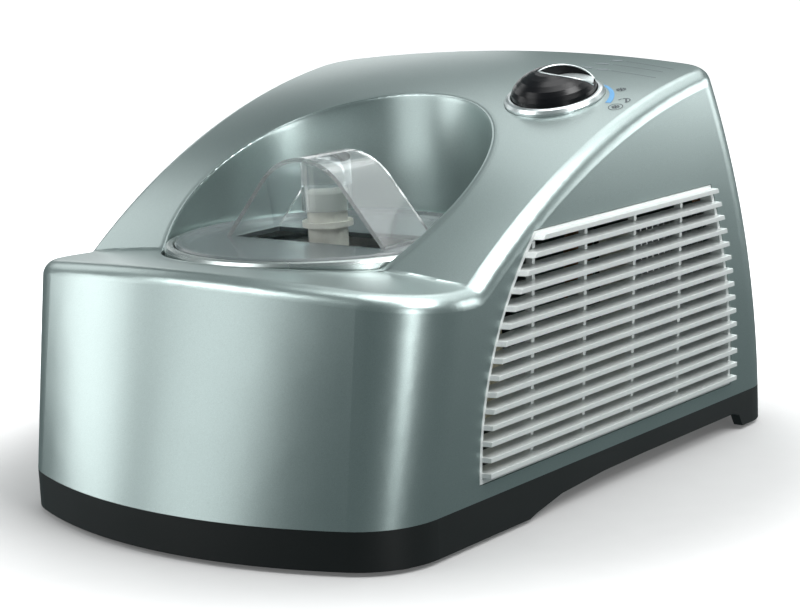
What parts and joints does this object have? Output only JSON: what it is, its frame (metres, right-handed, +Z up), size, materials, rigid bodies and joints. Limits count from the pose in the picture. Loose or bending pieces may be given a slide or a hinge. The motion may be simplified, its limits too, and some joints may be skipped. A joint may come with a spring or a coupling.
{
  "type": "ice cream maker",
  "caption": "Compressor ice cream maker: sloped silver housing, louvred sides, scooped bowl well with clear-handled lid, domed control knob.",
  "frame": {"origin": "centre of the footprint on the floor, under the feet", "axes": "+X to the right of someone facing the front, front at -Y, +Z up"},
  "size_m": [0.2886, 0.405, 0.2272],
  "materials": {
    "silver_paint": "metallic silver paint, satin",
    "black_plastic": "black moulded, satin",
    "foot_rubber": "soft dark rubber",
    "screw_steel": "zinc plated",
    "silver_plastic": "metallic silver paint, satin",
    "silver_collar": "metallic silver, polished lip",
    "aluminium": "bare",
    "copper_tube": "drawn copper, dull",
    "insulation_foam": "expanded foam",
    "seal_rubber": "moulded",
    "bowl_aluminium": "spun, satin",
    "shaft_steel": "turned",
    "paddle_plastic": "white food-grade moulding",
    "smoky_plastic": "smoky translucent moulding",
    "clear_plastic": "clear moulding",
    "chrome_trim": "bright",
    "knob_plastic": "black gloss",
    "switch_plastic": "moulded",
    "gear_plastic": "acetal",
    "black_inner": "moulded",
    "motor_steel": "zinc plated can",
    "compressor_paint": "black enamel",
    "fan_plastic": "moulded",
    "bracket_steel": "pressed sheet",
    "gland_rubber": "moulded"
  },
  "bodies": {
    "base": {"upper_housing": "silver_paint", "base_tray": "black_plastic", "rubber_feet": "foot_rubber", "housing_screws": "screw_steel", "right_grille": "silver_plastic", "left_grille": "silver_plastic", "bowl_collar": "silver_collar", "evaporator_bowl": "aluminium", "evaporator_coil": "copper_tube", "insulation_jacket": "insulation_foam", "shaft_seal": "seal_rubber", "knob_bezel": "chrome_trim", "selector_switch": "switch_plastic", "gearbox_case": "black_inner", "drive_motor": "motor_steel", "compressor": "compressor_paint", "compressor_mounts": "seal_rubber", "relay_cover": "black_inner", "condenser": "aluminium", "fan_shroud": "black_inner", "fan_motor": "motor_steel", "fan_bracket": "bracket_steel", "filter_drier": "copper_tube", "discharge_pipe": "copper_tube", "liquid_pipe": "copper_tube", "capillary_pipe": "copper_tube", "suction_pipe": "copper_tube", "cord_gland": "gland_rubber"},
    "lid": {"lid_disc": "smoky_plastic", "lid_arch": "clear_plastic"},
    "bowl": {"removable_bowl": "bowl_aluminium"},
    "paddle": {"mixing_paddle": "paddle_plastic"},
    "drive": {"drive_shaft": "shaft_steel", "worm_wheel": "gear_plastic"},
    "worm": {"motor_worm": "shaft_steel"},
    "fan": {"fan_rotor": "fan_plastic"},
    "knob": {"control_knob": "knob_plastic"}
  },
  "joints": [
    {"name": "lid_lift", "type": "slide", "parent": "base", "child": "lid", "axis": [0, 0, 1], "range_m": [0, 0.2]},
    {"name": "bowl_lift", "type": "slide", "parent": "base", "child": "bowl", "axis": [0, 0, 1], "range_m": [0, 0.12]},
    {"name": "paddle_spin", "type": "hinge", "parent": "bowl", "child": "paddle", "pos_m": [0, -0.056, 0.1], "axis": [0, 0, 1], "continuous": true},
    {"name": "drive_spin", "type": "hinge", "parent": "base", "child": "drive", "pos_m": [0, -0.056, 0.03], "axis": [0, 0, 1], "continuous": true},
    {"name": "worm_spin", "type": "hinge", "parent": "base", "child": "worm", "pos_m": [0.0308, -0.05, 0.029], "axis": [0, 1, 0], "continuous": true},
    {"name": "fan_spin", "type": "hinge", "parent": "base", "child": "fan", "pos_m": [0.09, 0.102, 0.075], "axis": [1, 0, 0], "continuous": true},
    {"name": "knob_turn", "type": "hinge", "parent": "base", "child": "knob", "pos_m": [0.0844, 0.0428, 0.20964], "axis": [0.0605, -0.2672, 0.9617], "range_deg": [-40, 20]}
  ],
  "couplings": [
    {"joint": "bowl_lift", "follows": "lid_lift", "ratio": 0.6},
    {"joint": "paddle_spin", "follows": "drive_spin", "ratio": 1},
    {"joint": "worm_spin", "follows": "drive_spin", "ratio": 36}
  ]
}
